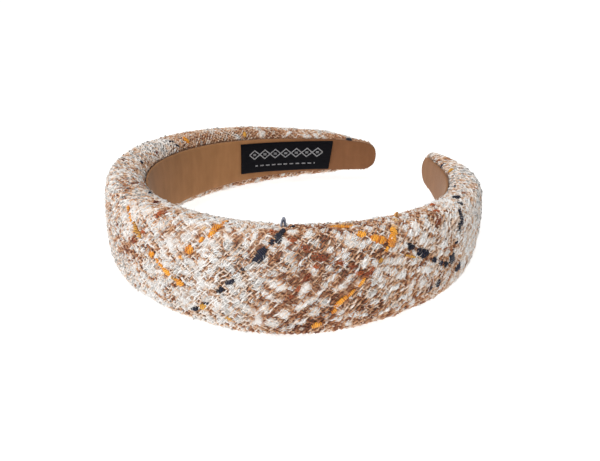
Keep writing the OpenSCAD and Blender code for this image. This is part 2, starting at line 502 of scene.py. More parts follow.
# White tufts of the boucle yarn. Those that the camera sees in front are charted: x and
# y in the frame, length and width in millimetres, and lean in degrees. Round the rest of
# the band they are scattered near the crossings of both yarn directions.
tuft_chart = np.array([
    (174, 222, 3.0, 1.8, -30), (180, 217, 2.8, 2.0, 0), (190, 221, 3.2, 2.6, 60),
    (197, 216, 2.6, 2.0, 0), (186, 236, 2.6, 1.8, -40), (170, 245, 3.6, 3.0, 20),
    (181, 247, 2.6, 2.4, 60), (200, 222, 3.0, 2.0, 40), (205, 242, 3.2, 2.4, -30),
    (213, 244, 4.0, 2.6, -20), (227, 247, 3.6, 2.4, -30), (216, 254, 3.6, 2.0, -35),
    (202, 251, 2.4, 1.8, 0), (212, 262, 4.0, 2.4, -30), (200, 264, 3.2, 2.6, 50),
    (190, 266, 3.4, 2.6, -40), (222, 264, 3.4, 2.6, 30), (231, 259, 4.6, 2.8, 60),
    (229, 269, 3.6, 2.4, -10), (175, 273, 2.6, 2.2, 0), (187, 274, 3.2, 1.6, -45),
    (197, 276, 4.2, 2.8, -45), (202, 285, 3.6, 2.8, -60), (188, 283, 2.6, 1.8, 0),
    (194, 294, 4.0, 2.6, -30), (174, 293, 3.4, 3.2, 0), (205, 299, 3.4, 2.8, 30),
    (211, 273, 2.8, 2.2, 70), (213, 287, 2.4, 1.6, 0), (184, 302, 3.0, 2.0, -20),
    (229, 288, 2.8, 2.0, 0), (224, 299, 4.2, 1.8, -35), (217, 306, 3.2, 2.6, 40),
    (228, 313, 3.2, 2.8, 0), (211, 320, 3.4, 1.6, -20), (219, 317, 1.8, 1.6, 0),
    (168, 282, 2.4, 2.2, 0), (178, 262, 2.6, 2.0, -40), (193, 232, 2.0, 1.4, 40),
    (243, 230, 4.2, 1.8, 45), (256, 236, 4.2, 1.7, 75), (247, 268, 4.0, 2.8, 0),
    (263, 266, 1.9, 1.7, 0), (284, 244, 2.6, 2.4, 0), (289, 257, 5.4, 2.4, 45),
    (297, 270, 3.4, 2.6, 30), (234, 276, 3.2, 1.8, -20), (252, 275, 4.4, 1.6, -10),
    (273, 274, 2.2, 2.0, 0), (261, 284, 3.0, 2.4, 70), (293, 231, 3.2, 2.4, 30),
    (246, 246, 3.0, 1.2, 50), (238, 285, 4.6, 2.4, -20), (256, 287, 4.4, 2.3, -20),
    (243, 297, 3.6, 3.0, 80), (279, 288, 5.6, 3.6, -10), (267, 296, 4.0, 2.2, -20),
    (236, 304, 4.2, 2.8, 80), (247, 311, 4.2, 3.0, 20), (258, 316, 2.6, 2.0, -30),
    (236, 322, 3.8, 2.6, 0), (276, 303, 2.8, 1.2, -10), (268, 306, 2.8, 1.2, 80),
    (267, 313, 1.8, 1.2, 30), (283, 316, 3.8, 3.4, 0), (275, 325, 5.8, 2.4, 10),
    (258, 323, 3.0, 1.0, -30), (297, 309, 3.0, 1.8, 0), (234, 292, 3.0, 2.0, 0),
    (308, 233, 4.6, 3.6, 80), (318, 244, 2.7, 2.4, 0), (326, 228, 2.6, 2.2, 0),
    (336, 230, 3.0, 1.8, 0), (340, 236, 2.6, 2.2, 20), (352, 236, 5.0, 2.4, -10),
    (354, 243, 5.6, 2.8, 0), (346, 256, 4.6, 3.4, -10), (332, 251, 2.4, 2.2, 0),
    (299, 245, 2.4, 2.0, 40), (304, 262, 4.2, 1.4, 50), (336, 262, 3.0, 1.3, 50),
    (329, 269, 2.6, 2.0, 0), (334, 280, 4.4, 1.6, 45), (356, 275, 3.2, 1.3, 70),
    (313, 275, 2.2, 1.2, 20), (306, 290, 5.0, 2.8, 50), (327, 286, 2.8, 1.8, 50),
    (342, 271, 2.0, 1.3, 0), (351, 281, 3.4, 2.4, 50), (344, 288, 3.0, 1.6, 20),
    (301, 297, 2.2, 1.8, 40), (312, 301, 5.4, 2.6, 10), (326, 304, 3.4, 3.0, 40),
    (303, 308, 4.6, 2.0, 20), (315, 314, 4.0, 3.6, 60), (318, 295, 2.0, 1.4, 60),
    (302, 323, 3.6, 2.4, 0), (327, 317, 2.6, 1.8, 0), (355, 315, 6.0, 2.8, 0),
    (342, 313, 3.0, 1.6, 20), (338, 321, 4.0, 1.6, 10), (336, 292, 2.2, 1.4, 0),
    (387, 219, 2.8, 2.4, 0), (384, 226, 2.4, 2.2, 0), (369, 227, 2.8, 2.2, 0),
    (417, 225, 5.0, 3.4, 80), (365, 245, 3.2, 2.4, 60), (378, 247, 3.8, 2.4, 10),
    (367, 264, 4.0, 2.8, 60), (376, 266, 2.7, 2.2, 50), (396, 252, 2.4, 2.0, 0),
    (389, 261, 3.8, 2.2, -10), (401, 262, 4.0, 3.0, 0), (407, 246, 2.4, 2.0, 80),
    (410, 234, 3.4, 2.0, -20), (423, 241, 2.8, 2.2, 0), (427, 236, 3.0, 2.2, 0),
    (425, 214, 3.2, 2.4, 40), (415, 262, 3.4, 2.0, 0), (406, 227, 2.4, 1.5, 30),
    (379, 275, 3.8, 2.0, 45), (387, 270, 2.4, 1.6, 0), (394, 273, 3.2, 2.8, 0),
    (403, 276, 3.8, 3.0, 20), (411, 276, 1.9, 1.6, 70), (386, 281, 2.0, 1.8, 0),
    (374, 283, 2.8, 2.0, 60), (382, 286, 2.4, 1.6, 30), (396, 288, 3.6, 1.8, 10),
    (374, 295, 4.0, 1.8, 45), (387, 296, 3.8, 1.8, 45), (376, 305, 3.2, 2.2, 20),
    (396, 307, 4.0, 1.8, 10), (413, 286, 4.6, 2.0, 50), (424, 282, 4.2, 3.4, 0),
    (426, 271, 4.0, 3.2, 0), (412, 302, 3.0, 2.0, 40), (365, 315, 3.0, 1.8, 0),
    (362, 295, 1.8, 1.6, 0), (404, 298, 2.8, 1.2, -10), (446, 192, 3.2, 2.0, 0),
    (458, 190, 4.0, 2.4, -20), (467, 188, 4.0, 3.2, 60), (458, 216, 1.8, 1.6, 0),
    (446, 225, 2.4, 2.0, 0), (446, 234, 4.4, 3.2, -40), (458, 237, 2.4, 2.2, 0),
    (434, 241, 2.0, 1.8, 0), (475, 213, 3.8, 3.0, 80), (466, 240, 5.2, 3.0, 80),
    (456, 205, 2.8, 2.6, 60), (470, 202, 4.0, 2.4, 80), (428, 220, 2.8, 2.6, 0),
    (445, 246, 4.4, 2.4, -20), (430, 264, 2.8, 1.6, -20), (430, 272, 3.2, 2.0, 0),
    (450, 274, 4.2, 3.0, 30), (437, 273, 2.4, 2.0, 0), (442, 268, 2.6, 1.6, -30),
    (461, 255, 3.0, 1.2, -30), (467, 250, 3.6, 2.4, 70), (446, 284, 3.6, 1.8, 30),
    (446, 213, 2.0, 1.6, 40), (435, 230, 2.0, 1.6, 0), (474, 228, 3.0, 2.0, 80),
])
# Where the charted front starts and ends across the frame, and its top in pixels, which
# is higher past the turn to the right leg
front_left, front_right, front_top, turn_from, turn_top = 168, 477, 203, 420, 184
tuft_seed = np.random.default_rng(71)
crossing_a, crossing_b = np.meshgrid(np.arange(-95, 96), np.arange(-95, 96), indexing="ij")
warp_way = np.array([np.cos(warp_lean), np.sin(warp_lean)])
weft_way = np.array([np.cos(weft_lean), np.sin(weft_lean)])

# A fine map of the flat cloth that says how high the tufts stand at each spot
map_cell, map_margin, map_girth = 0.5, 10, 55
map_shape = (int(2 * (reach_length + map_margin) / map_cell), int(2 * map_girth / map_cell))


def map_index(length, girth):
    """Row and column of a spot in the map, with the part of a cell past them."""
    return (length + reach_length + map_margin) / map_cell, (girth + map_girth) / map_cell


def stamp(spots, half_lengths, half_widths, leans):
    """A map of domes, each an oval that falls away as one minus the square of the
    distance from its middle, and the highest dome counts."""
    around = np.arange(-9, 10)
    di, dj = np.meshgrid(around, around, indexing="ij")
    ci, cj = map_index(spots[:, 0], spots[:, 1])
    i = np.round(ci).astype(int)[:, None, None] + di
    j = np.round(cj).astype(int)[:, None, None] + dj
    u, v = (i - ci[:, None, None]) * map_cell, (j - cj[:, None, None]) * map_cell
    cos, sin = np.cos(leans)[:, None, None], np.sin(leans)[:, None, None]
    far = np.hypot(
        (u * cos + v * sin) / half_lengths[:, None, None],
        (v * cos - u * sin) / half_widths[:, None, None],
    )
    dome = np.clip(1.25 - far**2, 0, 1)
    result = np.zeros(map_shape)
    i, j = np.clip(i, 0, map_shape[0] - 1), np.clip(j, 0, map_shape[1] - 1)
    np.maximum.at(result, (i, j), dome)
    return result


def read_map(grid, length, girth):
    """A map's value at any spot, by straight interpolation."""
    x, y = map_index(length, girth)
    x, y = np.clip(x, 0, map_shape[0] - 1.001), np.clip(y, 0, map_shape[1] - 1.001)
    i, j = x.astype(int), y.astype(int)
    return between(grid, i, j, x - i, y - j)


# Places in the frame that no scattered tuft covers: x, y and radius in pixels
bare_chart = np.array([
    (155, 203, 6), (163, 213, 7), (141, 231, 5), (134, 241, 5), (126, 248, 5), (151, 256, 4),
    (160, 267, 4), (166, 275, 4), (177, 285, 4), (188, 251, 4), (431, 203, 5), (437, 210, 5),
    (440, 220, 7), (457, 197, 5), (464, 218, 5), (462, 228, 5), (196, 310, 4), (204, 308, 4),
    (227, 282, 4), (219, 292, 4), (205, 293, 3), (220, 275, 4), (213, 251, 3), (283, 229, 5),
    (394, 300, 6), (384, 303, 5), (405, 294, 4),
])
chart_spot = charted(tuft_chart[:, :2])
# A tuft's half sizes, a little fuller than charted
chart_half_length, chart_half_width = 0.56 * tuft_chart[:, 2], 0.56 * tuft_chart[:, 3]
chart_lean = np.radians(tuft_chart[:, 4])
chart_map = stamp(chart_spot, chart_half_length, chart_half_width, chart_lean)


def scattered(pitch, shift, stray, share, least_unseen, front_share):
    """Spots that stray at random from the crossings of a grid along both yarns' ways.
    A share of them is kept, which changes along the band and from patch to patch, and has
    a least value where the camera doesn't see the cloth. In the charted front it is
    another share, by the place across the frame, and none there lies on a charted tuft."""
    grid = (crossing_a + shift)[..., None] * warp_way * 1.12
    grid = (grid + (crossing_b + shift)[..., None] * weft_way).reshape(-1, 2)
    spots = grid * pitch + tuft_seed.uniform(-stray, stray, grid.shape)
    luck = tuft_seed.uniform(0, 1, len(spots))
    near = (np.abs(spots[:, 0]) < reach_length - 2) & (np.abs(spots[:, 1]) < 45)
    spots, luck = spots[near], luck[near]
    length, girth = spots.T
    to_edge = to_lining(length, girth)
    facing, x, y = seen_in_front(length, girth)
    seen = facing > 0
    charted_front = seen & (x > front_left) & (x < front_right)
    charted_front = charted_front & (y > np.where(x > turn_from, turn_top, front_top))
    patchy = 0.3 * soft_noise(length, girth, 13.0, 44)
    front = np.interp(x, [front_left, 240, 290, 370, turn_from, front_right], front_share)
    # Near the edges, which the chart hardly reaches, there are more
    front = np.where(to_edge > 0.62, 2.5 * front, front)
    front = np.where(read_map(chart_map, length, girth) < 0.1, front, 0)
    rest = share(length)
    rest = np.where(facing < 0.05, np.maximum(rest, least_unseen), rest) + patchy
    kept = luck < np.where(charted_front, front, rest)
    off = np.hypot(x[:, None] - bare_chart[:, 0], y[:, None] - bare_chart[:, 1])
    covered = seen & (off < bare_chart[:, 2]).any(1)
    return spots[kept & (to_edge < 0.985) & ~covered]


def whiteness(length):
    """Share of the cloth that the white tufts take, by length along the band."""
    at = [-240, -160, -110, -75, -50, -30, 10, 40, 100, 130, 148, 170, 185, 240]
    share = [0.45, 0.35, 0.15, 0.25, 0.5, 0.8, 0.9, 0.6, 0.5, 0.6, 1.0, 1.0, 0.5, 0.35]
    return np.interp(length, at, share)


def small_tufts(length):
    """Share of the crossings with a small tuft as well: most of them over the crown."""
    return np.interp(length, [-130, -60, -30, 20, 45, 240], [0.15, 0.5, 0.9, 1.0, 0.3, 0.3])


def fine_tufts(length):
    """Share of the crossings of every yarn pair with a fine tuft: over the crown and in one
    whiter stretch of the right leg."""
    at = [-60, -35, -10, 20, 40, 130, 145, 168, 182]
    return np.interp(length, at, [0, 0.5, 0.9, 0.9, 0, 0, 0.8, 0.8, 0])


large_spot = scattered(4.1, 0.0, 1.5, whiteness, 0.55, [0] * 6)
small_spot = scattered(3.6, 0.5, 1.4, small_tufts, 0.25, [1.0, 0.75, 0.2, 0.25, 0.35, 0.35])
fine_spot = scattered(2.3, 0.25, 0.6, fine_tufts, 0, [0.95, 0.4, 0, 0, 0, 0])
free_spot = np.concatenate([large_spot, small_spot, fine_spot])
free_counts = [len(large_spot), len(small_spot), len(fine_spot)]
free_size = np.concatenate([
    tuft_seed.uniform(*sizes, count)
    for sizes, count in zip([(0.75, 1.3), (0.5, 0.8), (0.36, 0.52)], free_counts)
])
free = len(free_spot)
free_lean = np.where(tuft_seed.uniform(0, 1, free) < 0.55, warp_lean, weft_lean)
free_half_length = 1.95 * free_size * tuft_seed.uniform(0.85, 1.45, free)
free_lean = free_lean + tuft_seed.uniform(-0.35, 0.35, free)
tuft_spot = np.concatenate([chart_spot, free_spot])
tuft_half_length = np.concatenate([chart_half_length, free_half_length])
tuft_half_width = np.concatenate([chart_half_width, 1.4 * free_size])
tuft_lean = np.concatenate([chart_lean, free_lean])
small_chart = chart_half_length * chart_half_width < 1.7
tuft_kind = np.concatenate([np.where(small_chart, 1, 0), np.repeat([0, 1, 2], free_counts)])
tuft_map = stamp(tuft_spot, tuft_half_length, tuft_half_width, tuft_lean)

edge_share = np.where(share_of_half >= 0, upper["edge"][:, None], lower["edge"][:, None])
past_edge = (np.abs(share_of_half) - edge_share) * grid_girth.max(1)[:, None]
past_edge = np.clip(past_edge / 1.5, -1, 1)
tuft_height = read_map(tuft_map, grid_length, grid_girth)
# The ground cloth lies under its yarns, and flat against the lining where that covers it
sunk = 0.85 - 0.65 * (past_edge + 1) / 2
wide_lumps = 0.28 * soft_noise(grid_length, grid_girth, 9.0, 5)
lumps = wide_lumps + 0.16 * soft_noise(grid_length, grid_girth, 4.0, 6)
bare = 1 - (past_edge + 1) / 2
cover_height = -sunk + bare * (lumps + 0.8 * tuft_height)
near_tip = np.clip((half_length - np.abs(row_s)) / 6, 0.12, 1)[:, None]
cover_points = surface + surface_normal * (cover_height * near_tip)[..., None]

ring_size = columns - 1
index = np.arange(rows)[:, None] * ring_size + np.arange(columns)[None, :] % ring_size
quads = [index[:-1, :-1], index[:-1, 1:], index[1:, 1:], index[1:, :-1]]
quads = np.stack(quads, -1).reshape(-1, 4)
flat_points = cover_points[:, :-1].reshape(-1, 3)
# Each end closes on a point in its middle
ends = []
for row, turn in ((0, -1), (rows - 1, 1)):
    pole = len(flat_points)
    flat_points = np.concatenate([flat_points, cover_points[row, :-1].mean(0)[None]])
    ring = index[row]
    fan = np.stack([ring[:-1], ring[1:], np.full(ring_size, pole)], -1)
    ends.append(fan[:, ::turn])
first = flat_points[quads[half_columns]]
facing = np.cross(first[1] - first[0], first[3] - first[0]) @ surface_normal[0, half_columns]
if facing < 0:
    quads = quads[:, ::-1]
    ends = [fan[:, ::-1] for fan in ends]
cover = cloth_mesh("tweed_cover", flat_points, [quads, *ends])
corner = np.array([[0, 0], [0, 1], [1, 1], [1, 0]])
if facing < 0:
    corner = corner[::-1]
cell_row, cell_column = np.meshgrid(np.arange(rows - 1), np.arange(ring_size), indexing="ij")
map_row = cell_row[..., None] + corner[:, 0]
map_column = cell_column[..., None] + corner[:, 1]
map_uv = np.stack([g[map_row, map_column] for g in (grid_length, grid_girth)], -1) / 100
end_uv = np.zeros((2 * ring_size * 3, 2))
give_uv(cover, np.concatenate([map_uv.reshape(-1, 2), end_uv]))
give_values(cover, "fluff", np.append(tuft_height[:, :-1].ravel(), [0, 0]))
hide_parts("padded_cover")


def colour(red, green, blue):
    """A colour as a screen shows it, 0 to 255, turned into the linear one that light needs."""
    c = np.array([red, green, blue]) / 255
    linear = np.where(c <= 0.04045, c / 12.92, ((c + 0.055) / 1.055) ** 2.4)
    return (*[float(x) for x in linear], 1.0)


def add(tree, kind, links=(), **settings):
    """A node with its settings. Names that the node lacks are its input sockets, and
    links are pairs of an input's name or number and the socket that feeds it."""
    node = tree.nodes.new(kind)
    for name, value in settings.items():
        if hasattr(node, name):
            setattr(node, name, value)
        else:
            node.inputs[name.replace("_", " ")].default_value = value
    for target, source in links:
        tree.links.new(source, node.inputs[target])
    return node


def ramp(tree, source, stops):
    """A colour ramp from stops of place and colour."""
    node = add(tree, "ShaderNodeValToRGB", [(0, source)])
    elements = node.color_ramp.elements
    while len(elements) < len(stops):
        elements.new(0.5)
    for element, (spot, shade) in zip(elements, stops):
        element.position = spot
        element.color = shade
    return node.outputs["Color"]


def cloth_material(name, roughness, sheen):
    """A new material with its Principled shader, and the tree to build on."""
    material = bpy.data.materials.new(name)
    material.use_nodes = True
    tree = material.node_tree
    shader = tree.nodes["Principled BSDF"]
    shader.inputs["Roughness"].default_value = roughness
    shader.inputs["Sheen Weight"].default_value = sheen
    shader.inputs["Specular IOR Level"].default_value = 0.3
    return material, tree, shader


# Spun fibre: uneven dye and fine hairs, used by every yarn and by the cloth under them
fibre = bpy.data.node_groups.new("spun_fibre", "ShaderNodeTree")
for socket, direction, kind in (
    ("Colour", "INPUT", "NodeSocketColor"),
    ("Unevenness", "INPUT", "NodeSocketFloat"),
    ("Hair size", "INPUT", "NodeSocketFloat"),
    ("Colour", "OUTPUT", "NodeSocketColor"),
    ("Height", "OUTPUT", "NodeSocketFloat"),
):
    fibre.interface.new_socket(socket, in_out=direction, socket_type=kind)
inside = add(fibre, "NodeGroupInput").outputs
spot = add(fibre, "ShaderNodeTexCoord").outputs["Object"]
hair_links = [("Vector", spot), ("Scale", inside["Hair size"])]
hairs = add(fibre, "ShaderNodeTexNoise", hair_links, Detail=3.0).outputs[0]
dye = add(fibre, "ShaderNodeTexNoise", [("Vector", spot)], Scale=260.0, Detail=2.0)
swing = add(fibre, "ShaderNodeMath", [(0, dye.outputs[0])], operation="SUBTRACT")
swing.inputs[1].default_value = 0.5
uneven_links = [(0, swing.outputs[0]), (1, inside["Unevenness"])]
swing = add(fibre, "ShaderNodeMath", uneven_links, operation="MULTIPLY")
lift = add(fibre, "ShaderNodeMath", [(0, swing.outputs[0])], operation="ADD")
lift.inputs[1].default_value = 1.0
shade_links = [(0, inside["Colour"]), ("Scale", lift.outputs[0])]
shaded = add(fibre, "ShaderNodeVectorMath", shade_links, operation="SCALE").outputs[0]
add(fibre, "NodeGroupOutput", [("Colour", shaded), ("Height", hairs)])


def dress(tree, shader, shade, unevenness, hair_size, bump):
    """Passes a colour through the spun fibre group into the shader, with its bump."""
    group = add(tree, "ShaderNodeGroup", node_tree=fibre)
    tree.links.new(shade, group.inputs["Colour"])
    group.inputs["Unevenness"].default_value = unevenness
    group.inputs["Hair size"].default_value = hair_size
    height = [("Height", group.outputs["Height"])]
    relief = add(tree, "ShaderNodeBump", height, Strength=bump, Distance=0.0003)
    tree.links.new(group.outputs["Colour"], shader.inputs["Base Color"])
    tree.links.new(relief.outputs["Normal"], shader.inputs["Normal"])


tweed_look, tree, shader = cloth_material("tweed_ground", 0.85, 0.2)
uv = add(tree, "ShaderNodeUVMap", uv_map="cloth_map").outputs[0]
blotch = add(tree, "ShaderNodeTexNoise", [("Vector", uv)], Scale=60.0, Detail=3.0)
tans = [(0.3, colour(128, 84, 58)), (0.7, colour(190, 150, 118))]
ground = ramp(tree, blotch.outputs[0], tans)
fluff = add(tree, "ShaderNodeAttribute", attribute_name="fluff").outputs["Fac"]
links = [("Factor", fluff), ("A", ground)]
base = add(tree, "ShaderNodeMix", links, data_type="RGBA", B=colour(234, 230, 226))
dress(tree, shader, base.outputs["Result"], 0.5, 900.0, 0.5)
cover.data.materials.append(tweed_look)


# Ground yarns
# Fine tan and cream yarns, spun unevenly, woven over and under each other in both
# directions of the cloth. On the finished band they run slantwise, as the cut is bias.
warp_pitch, weft_pitch = 1.25, 1.65
warp_radius, weft_radius = 0.42, 0.38
warp_seed, weft_seed = 11, 23
# Height of the yarns' middles over the cloth's face, how far they swing up and down at
# the crossings, the spacing of their samples, and the girth that they are made over
yarn_bed, crossing_rise, yarn_sample, yarn_girth = -0.45, 0.22, 0.8, 48
# How near the ground yarns come to the lining's edge
yarn_clearance = 0.05
tan_shades = [
    (0.0, colour(112, 62, 38)),
    (0.2, colour(168, 108, 70)),
    (0.42, colour(207, 160, 121)),
    (0.66, colour(233, 211, 192)),
    (1.0, colour(248, 245, 242)),
]


def line_spacing(lean, pitch):
    """Spacing of one direction's yarns along the band, and how many lines there are."""
    across = pitch / abs(np.sin(lean))
    return across, int(2 * (reach_length + 60) / across)


def waver(along, line, seed):
    """How far a yarn strays sideways at a place along it, in millimetres."""
    quick = 0.42 * soft_noise(along, line * 7.3, 1.4, seed)
    return quick + 0.45 * soft_noise(along, line * 3.1, 5.0, seed + 1)


def held_down(length, girth):
    """Share by which the ground yarns over a spot hold a tuft down: most under a warp
    yarn's own wavering line, and less under a weft yarn."""
    down = 0 * length
    for lean, pitch, seed, hold in (
        (warp_lean, warp_pitch, warp_seed, 0.5),
        (weft_lean, weft_pitch, weft_seed, 0.2),
    ):
        across, lines = line_spacing(lean, pitch)
        spot = (length - girth / np.tan(lean)) / across + lines / 2
        line = np.round(spot)
        sideways = -np.sin(lean) * (spot - line) * across
        along = (girth - sideways * np.cos(lean)) / np.sin(lean)
        off = (sideways - waver(along, line, seed)) / warp_radius
        down = np.maximum(down, hold * np.clip(1.3 - off**2, 0, 1))
    return down


def yarn(name, centre, upward, radius, keep, tone, sides=3):
    """Tubes along many paths at once, given as arrays of paths by samples. The ring at
    each sample stands square to the path, from its tangent and the upward direction.
    Samples that aren't kept split a path, and each end is closed by a flat face."""
    tangent = np.gradient(centre, axis=1)
    tangent /= np.maximum(1e-9, np.linalg.norm(tangent, axis=-1, keepdims=True))
    sideways = np.cross(tangent, upward)
    sideways /= np.maximum(1e-9, np.linalg.norm(sideways, axis=-1, keepdims=True))
    top = np.cross(sideways, tangent)
    turn = (np.pi / 2 + 2 * np.pi * np.arange(sides) / sides)[:, None]
    ring = np.cos(turn) * sideways[:, :, None] + np.sin(turn) * top[:, :, None]
    ring = ring * radius[:, :, None, None] + centre[:, :, None]
    index = np.arange(ring[..., 0].size).reshape(ring.shape[:3])
    link = keep[:, :-1] & keep[:, 1:]
    here, there = index[:, :-1][link], index[:, 1:][link]
    walls = np.stack([here, there, np.roll(there, -1, 1), np.roll(here, -1, 1)], -1)
    walls = walls.reshape(-1, 4)
    before = np.pad(link, ((0, 0), (1, 0)))[:, :-1]
    after = np.pad(link, ((0, 0), (0, 1)))[:, 1:]
    starts, stops = index[:, :-1][link & ~before], index[:, 1:][link & ~after][:, ::-1]
    faces = [walls, starts, stops]
    used = np.unique(np.concatenate([f.ravel() for f in faces]))
    renumber = np.zeros(index.size, int)
    renumber[used] = np.arange(len(used))
    piece = cloth_mesh(name, ring.reshape(-1, 3)[used], [renumber[f] for f in faces])
    give_values(piece, "tone", np.repeat(tone.ravel(), sides)[used])
    return piece


def yarn_material(name, roughness, sheen, stops, unevenness, hair_size, bump):
    """A yarn's material: its shade follows the tone that its mesh carries."""
    material, tree, shader = cloth_material(name, roughness, sheen)
    tone = add(tree, "ShaderNodeAttribute", attribute_name="tone").outputs["Fac"]
    dress(tree, shader, ramp(tree, tone, stops), unevenness, hair_size, bump)
    return material


# How much paler the yarns are along the band, by length: partly the cloth's own paler and
# darker stretches, partly painted shade and light that darken the tips and even out the
# light along the band. Also how much of their unevenness shows: less towards the tips
tone_and_shade_at = [-180, -130, -100, -65, -40, -20, -8, 5, 25]
tone_and_shade_at += [40, 55, 75, 95, 112, 126, 145, 185, 205]
tone_and_shade_by = [-0.03, 0.08, 0.2, 0.13, -0.06, -0.16, -0.08, 0.04, 0.27]
tone_and_shade_by += [-0.02, -0.16, -0.13, -0.09, 0.04, 0.24, 0.13, 0.12, -0.1]
calm_at, calm_by = [-150, -90, -40, 180, 205], [0.7, 0.5, 1.0, 1.0, 0.7]


def ground_yarns(name, lean, pitch, radius, parity, lift, seed):
    """Lines of one yarn direction: the length along the band is an offset for each line
    plus the girth over the tangent of the lean. They waver sideways, rise and fall with
    the other direction's pitch, and stay clear of the lining."""
    chance = np.random.default_rng(seed)
    across, lines = line_spacing(lean, pitch)
    offset = (np.arange(lines) - lines / 2) * across
    girth = np.arange(-yarn_girth, yarn_girth, yarn_sample * abs(np.sin(lean)))[None, :]
    girth = girth + 0 * offset[:, None]
    length = offset[:, None] + girth / np.tan(lean)
    line = np.arange(lines)[:, None]
    along = girth / np.sin(lean)
    aside = waver(along, line, seed)
    length, girth = length - aside * np.sin(lean), girth + aside * np.cos(lean)
    other, other_pitch = (weft_across, weft_pitch) if parity > 0 else (warp_across, warp_pitch)
    crossing = (length * other[0] + girth * other[1]) / other_pitch
    over = np.cos(np.pi * (crossing + line)) * parity
    rise = crossing_rise * over
    rise = rise + 0.12 * soft_noise(along, line * 5.7, 2.0, seed + 2)
    thick = radius * (1 + 0.35 * soft_noise(along, line * 9.1, 2.2, seed + 3))
    keep = room_to_lining(length, girth) > yarn_clearance
    keep = keep & (np.abs(length) < reach_length - 1.0)
    tip = np.clip((reach_length - np.abs(length)) / 8, 0.25, 1)
    # Where a yarn crosses a tuft it is lifted by it, and white fluff clings to it
    fluff = read_map(tuft_map, length, girth)
    rise = rise + lift * fluff
    centre, normal = on_cloth(length, girth, (yarn_bed + rise) * tip)
    # Painted shade: besides its uneven dye, a yarn is made paler where it rises over the other
    # direction and darker where it dips under it
    uneven_and_dip_shade = 0.5 * soft_noise(along, line * 11.3, 2.2, seed + 4) + 0.2 * over
    tone = chance.uniform(0.27, 0.57, lines)[:, None]
    tone = tone + uneven_and_dip_shade * np.interp(length, calm_at, calm_by)
    tone = tone + 0.16 * soft_noise(length, girth, 12.0, 40)
    tone = tone + np.interp(length, tone_and_shade_at, tone_and_shade_by) + 0.4 * fluff
    return yarn(name, centre, normal, thick, keep, np.clip(tone, 0, 1))


warp = ground_yarns("tweed_warp", warp_lean, warp_pitch, warp_radius, 1, 0.3, warp_seed)
weft = ground_yarns("tweed_weft", weft_lean, weft_pitch, weft_radius, -1, 0.15, weft_seed)
yarn_look = yarn_material("tan_yarn", 0.6, 0.25, tan_shades, 0.35, 1400.0, 0.35)
for piece in (warp, weft):
    piece.data.materials.append(yarn_look)


# White boucle tufts
# Thick, loosely looped white yarn that bunches up between the ground yarns. Each tuft
# is one curled strand, held down by the yarns that cross it. Small tufts have less yarn.
samples_of_kind = (42, 23, 14)
strand_radius, strand_low, strand_high = 0.23, -0.5, 0.48
strand_clearance = 0.2
boucle_shades = [
    (0.0, colour(170, 166, 162)),
    (0.3, colour(214, 210, 206)),
    (0.6, colour(241, 240, 239)),
    (1.0, colour(250, 251, 252)),
]
# Painted shade: how much darker the tangled strands, the white tufts most, are made along the
# band, by length
tuft_shade_at = [-180, -130, -60, -42, -28, -14, 2, 130, 150, 205]
tuft_shade_by = [0.3, 0.7, 0.75, 0.3, 0.5, 0.5, 0.15, 0.0, 0.85, 0.8]


def turned(spots, along, across, lean):
    """Length and girth of places along and across something that leans over its spot."""
    length = spots[:, :1] + along * np.cos(lean) - across * np.sin(lean)
    return length, spots[:, 1:] + along * np.sin(lean) + across * np.cos(lean)


def tangles(name, spots, half_lengths, half_widths, leans, samples, thickness, low, high, seed):
    """Tangled strands, one for each oval. Along the oval a strand moves steadily on with
    a swing; across it and up it is the sum of waves of odd lengths, within a low dome."""
    chance = np.random.default_rng(seed)
    count = len(spots)
    step = np.linspace(0, 1, samples)[None, :]
    loops = samples / 8.0
    phase = chance.uniform(0, 2 * np.pi, (6, count, 1))
    pace = 2 * np.pi * loops * chance.uniform(0.75, 1.25, (6, count, 1))
    u = 0.68 * (2 * step - 1) + 0.42 * np.cos(pace[0] * step + phase[0])
    v = 0.75 * np.sin(pace[1] * 0.8 * step + phase[1])
    v = v + 0.35 * np.sin(pace[2] * 0.37 * step + phase[2])
    dome = np.clip(1.1 - 0.8 * (u * u + v * v), 0, 1)
    height = low + (high - low) * dome * (0.7 + 0.3 * np.sin(pace[3] * 0.9 * step + phase[3]))
    u, v = u * half_lengths[:, None], v * half_widths[:, None]
    length, girth = turned(spots, u, v, leans[:, None])
    height = height + (low - 0.1 - height) * held_down(length, girth)
    tip = np.clip((reach_length - np.abs(length)) / 8, 0.2, 1)
    keep = room_to_lining(length, girth) > strand_clearance
    keep = keep & (np.abs(length) < reach_length - 0.8)
    centre, normal = on_cloth(length, girth, height * tip)
    thick = thickness * (1 + 0.25 * np.sin(pace[4] * 0.6 * step + phase[4]))
    thick = thick * (1 - 0.6 * np.abs(2 * step - 1) ** 8)
    tone = 0.25 + 0.55 * chance.uniform(0, 1, count)[:, None]
    tone = tone + 0.2 * (0.5 + 0.5 * np.sin(pace[5] * 0.3 * step + phase[5]))
    # Painted shade: the strands are made darker along the band, and on the left leg less under
    # its upper edge
    below = np.clip((-40 - length) / 20, 0, 1) * np.clip(0.6 - girth / 15, 0, 0.6)
    tone = tone - (1 - below) * np.interp(length, tuft_shade_at, tuft_shade_by)
    return yarn(name, centre, normal, thick, keep, tone)


